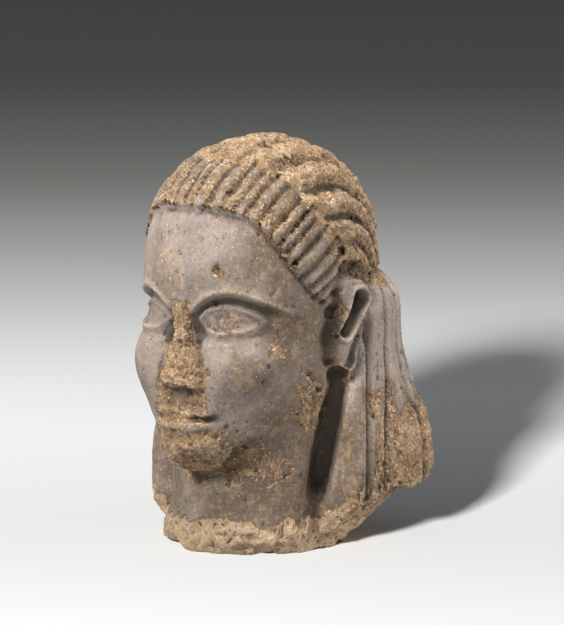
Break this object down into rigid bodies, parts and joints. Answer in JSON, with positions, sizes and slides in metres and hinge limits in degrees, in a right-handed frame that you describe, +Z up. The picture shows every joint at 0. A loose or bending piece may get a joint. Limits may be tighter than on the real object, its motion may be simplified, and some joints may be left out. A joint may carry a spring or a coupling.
{
  "type": "carved stone head",
  "caption": "Life-size head carved in porous volcanic tufa, with combed hair and long tresses, broken off below the neck.",
  "frame": {"origin": "centre of the bounding box in plan, at the flat of the neck break that the head stands on", "axes": "+Z up through the top of the head, the face looks toward -Y, +X is the side of the head's own left ear"},
  "size_m": [0.2, 0.2188, 0.297],
  "materials": {
    "tufa": "weathered, matt and porous"
  },
  "bodies": {
    "root": {"tufa_head": "tufa"}
  },
  "joints": []
}
